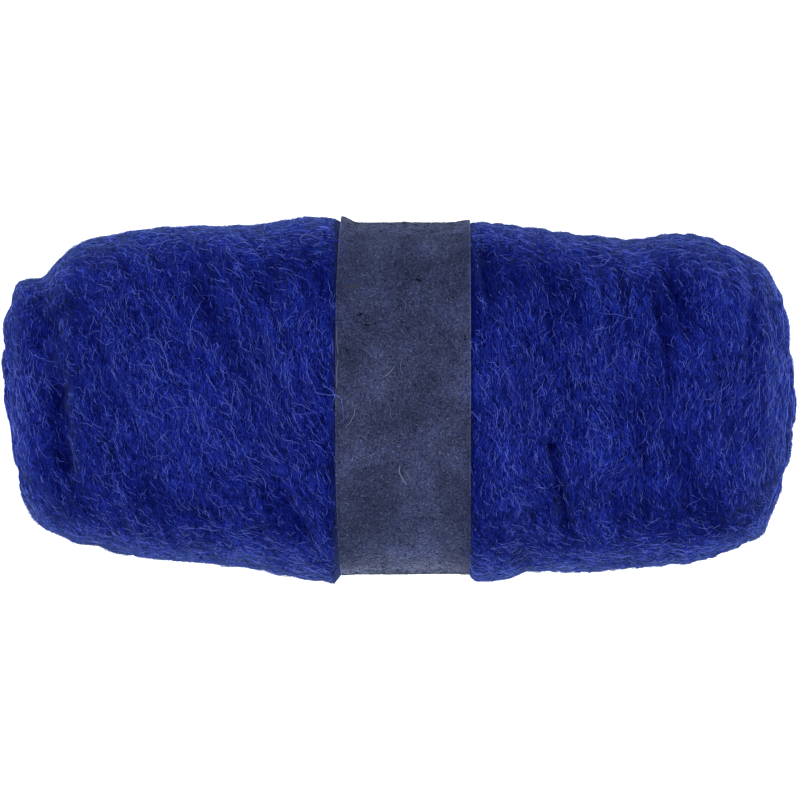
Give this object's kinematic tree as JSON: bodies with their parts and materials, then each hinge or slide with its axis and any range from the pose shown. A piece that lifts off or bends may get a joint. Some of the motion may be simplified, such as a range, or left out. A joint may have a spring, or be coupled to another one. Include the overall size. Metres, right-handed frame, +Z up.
{
  "type": "banded roll of carded wool",
  "caption": "Soft sausage-shaped roll of carded wool, wound from one batt and held round its middle by a plain strip of handmade paper.",
  "frame": {"origin": "on the floor under the middle of the roll", "axes": "+X along the roll's axis towards its rounder end, +Y across it towards the picture's top edge, +Z up from the floor towards the picture's camera"},
  "size_m": [0.2898, 0.1341, 0.1168],
  "materials": {
    "wool": "loose carded wool in royal blue, matt and fuzzy, with fine paler strands that run mostly round the roll",
    "paper": "handmade slate-blue paper with pale plant fibres and dark flecks, matt"
  },
  "bodies": {
    "root": {"wool_roll": "wool", "paper_band": "paper"}
  },
  "joints": []
}
